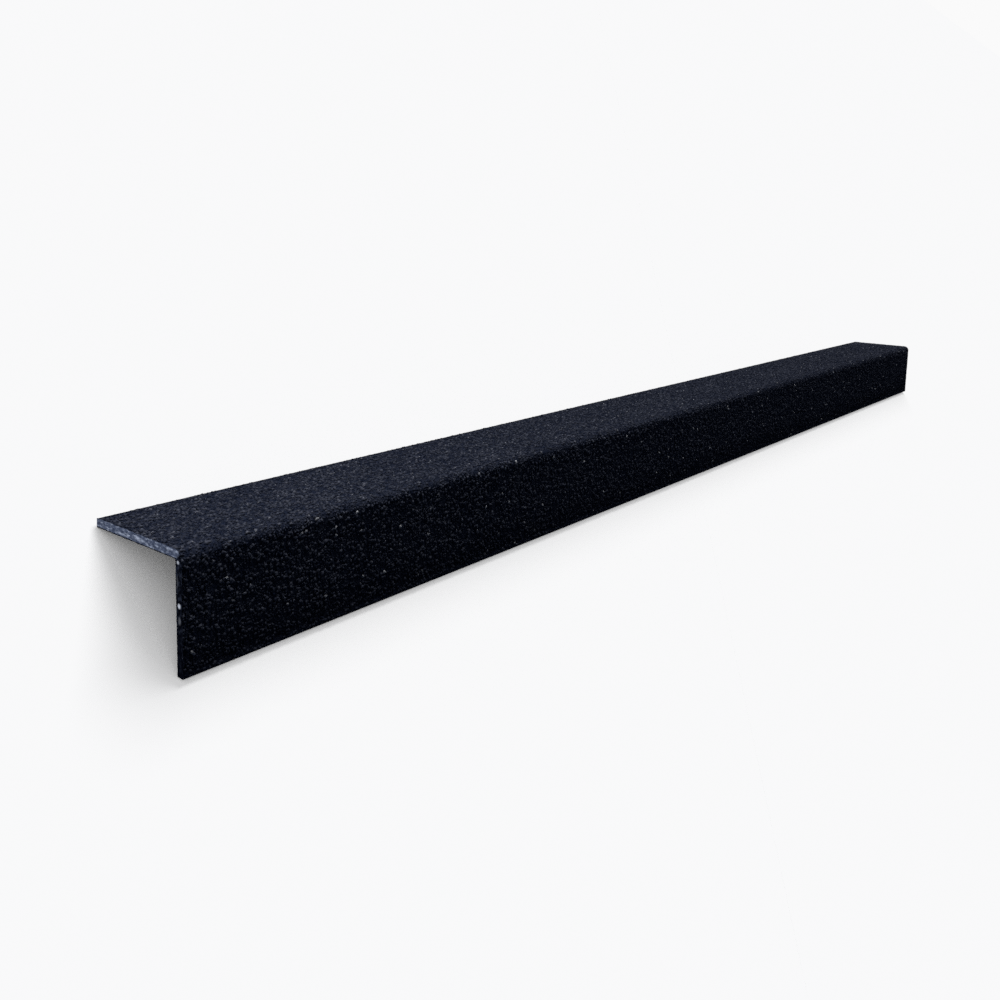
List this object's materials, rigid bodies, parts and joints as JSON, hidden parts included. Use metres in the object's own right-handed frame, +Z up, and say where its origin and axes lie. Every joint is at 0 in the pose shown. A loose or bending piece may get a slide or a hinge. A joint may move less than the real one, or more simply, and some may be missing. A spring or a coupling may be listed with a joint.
{
  "type": "stair nosing",
  "caption": "Black anti-slip stair nosing: a straight moulded angle with a narrow rounded nose and a grit-coated tread and riser, which caps the front edge of a step.",
  "frame": {"origin": "middle of the part's footprint, on the floor that it rests on", "axes": "+X along the length, +Y from the riser leg towards the tread leg, +Z up; the part rests on the inner edges of both legs with its nose up"},
  "size_m": [1, 0.0848, 0.0431],
  "materials": {
    "grit_laminate": "black resin laminate with a coarse angular grit coat on the outer faces, saw-cut ends"
  },
  "bodies": {
    "root": {"nosing_angle": "grit_laminate"}
  },
  "joints": []
}
